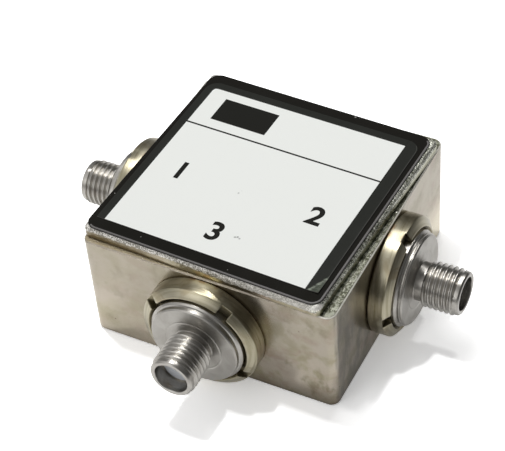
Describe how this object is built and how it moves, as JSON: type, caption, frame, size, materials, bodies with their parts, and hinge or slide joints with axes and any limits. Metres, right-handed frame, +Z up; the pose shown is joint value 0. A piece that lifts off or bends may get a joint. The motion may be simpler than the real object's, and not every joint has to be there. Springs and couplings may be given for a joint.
{
  "type": "coaxial mixer",
  "caption": "Square plated metal box with a bonded, slightly askew labelled cover and threaded coaxial ports on its left, front and right sides, held by slotted ring nuts.",
  "frame": {"origin": "middle of the box's flat base", "axes": "+Z up through the labelled cover, -Y out of the front (IF) port, +X out of the LO port, -X out of the RF port"},
  "size_m": [0.0564, 0.0462, 0.0188],
  "materials": {
    "case_plate": "satin",
    "solder": "satin",
    "black_film": "gloss",
    "label_print": "satin",
    "stainless": "satin",
    "nut_plate": "satin",
    "ptfe": "satin",
    "gold": "gloss",
    "board": "satin",
    "screw_plate": "satin",
    "ferrite": "matte",
    "copper": "gloss",
    "package": "satin"
  },
  "bodies": {
    "root": {"housing": "case_plate", "cover_solder": "solder", "cover": "case_plate", "backing_label": "black_film", "printed_label": "label_print", "rf_jack": "stainless", "rf_ring_nut": "nut_plate", "rf_insulator": "ptfe", "rf_contact": "gold", "lo_jack": "stainless", "lo_ring_nut": "nut_plate", "lo_insulator": "ptfe", "lo_contact": "gold", "if_jack": "stainless", "if_ring_nut": "nut_plate", "if_insulator": "ptfe", "if_contact": "gold", "circuit_board": "board", "board_screws": "screw_plate", "contact_solder": "solder", "rf_balun_core": "ferrite", "rf_balun_winding": "copper", "lo_balun_core": "ferrite", "lo_balun_winding": "copper", "diode_quad": "package", "diode_leads": "gold"}
  },
  "joints": []
}
